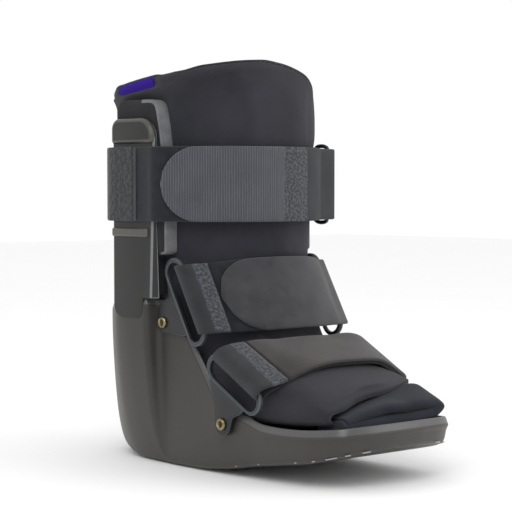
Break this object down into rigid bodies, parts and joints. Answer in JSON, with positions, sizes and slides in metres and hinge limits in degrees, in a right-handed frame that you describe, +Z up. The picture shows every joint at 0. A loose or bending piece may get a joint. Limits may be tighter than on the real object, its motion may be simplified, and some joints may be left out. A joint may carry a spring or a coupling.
{
  "type": "medical walking boot",
  "caption": "Short walking brace: hard rocker-soled shell with two uprights, open padded liner and three adjustable straps.",
  "frame": {"origin": "middle of the bounding box on the floor that the sole stands on", "axes": "+Z up, -Y towards the toe, +X towards the side where the straps turn through their slots and come back"},
  "size_m": [0.1506, 0.262, 0.2676],
  "materials": {
    "shell": "dark warm grey, satin",
    "plate": "dark grey, satin",
    "cloth": "brushed black-blue cloth over foam",
    "foam": "black cloth with a grey cut foam edge",
    "webbing": "dark grey brushed loop strap",
    "brass": "satin brass",
    "purple": "plain purple cloth tape"
  },
  "bodies": {
    "root": {"boot_shell": "shell", "liner": "cloth", "front_flap": "cloth", "toe_fold": "cloth", "label_tab": "purple", "side_pad_right": "foam", "side_pad_left": "foam", "mid_plate_right": "plate", "mid_plate_left": "plate", "foot_plate_right": "plate", "foot_plate_left": "plate", "rivet_mid_right": "brass", "rivet_mid_left": "brass", "rivet_foot_right": "brass", "rivet_foot_left": "brass", "mid_strap": "webbing", "foot_strap": "webbing", "top_strap": "webbing", "top_strap_back": "webbing", "top_ring": "plate"}
  },
  "joints": []
}
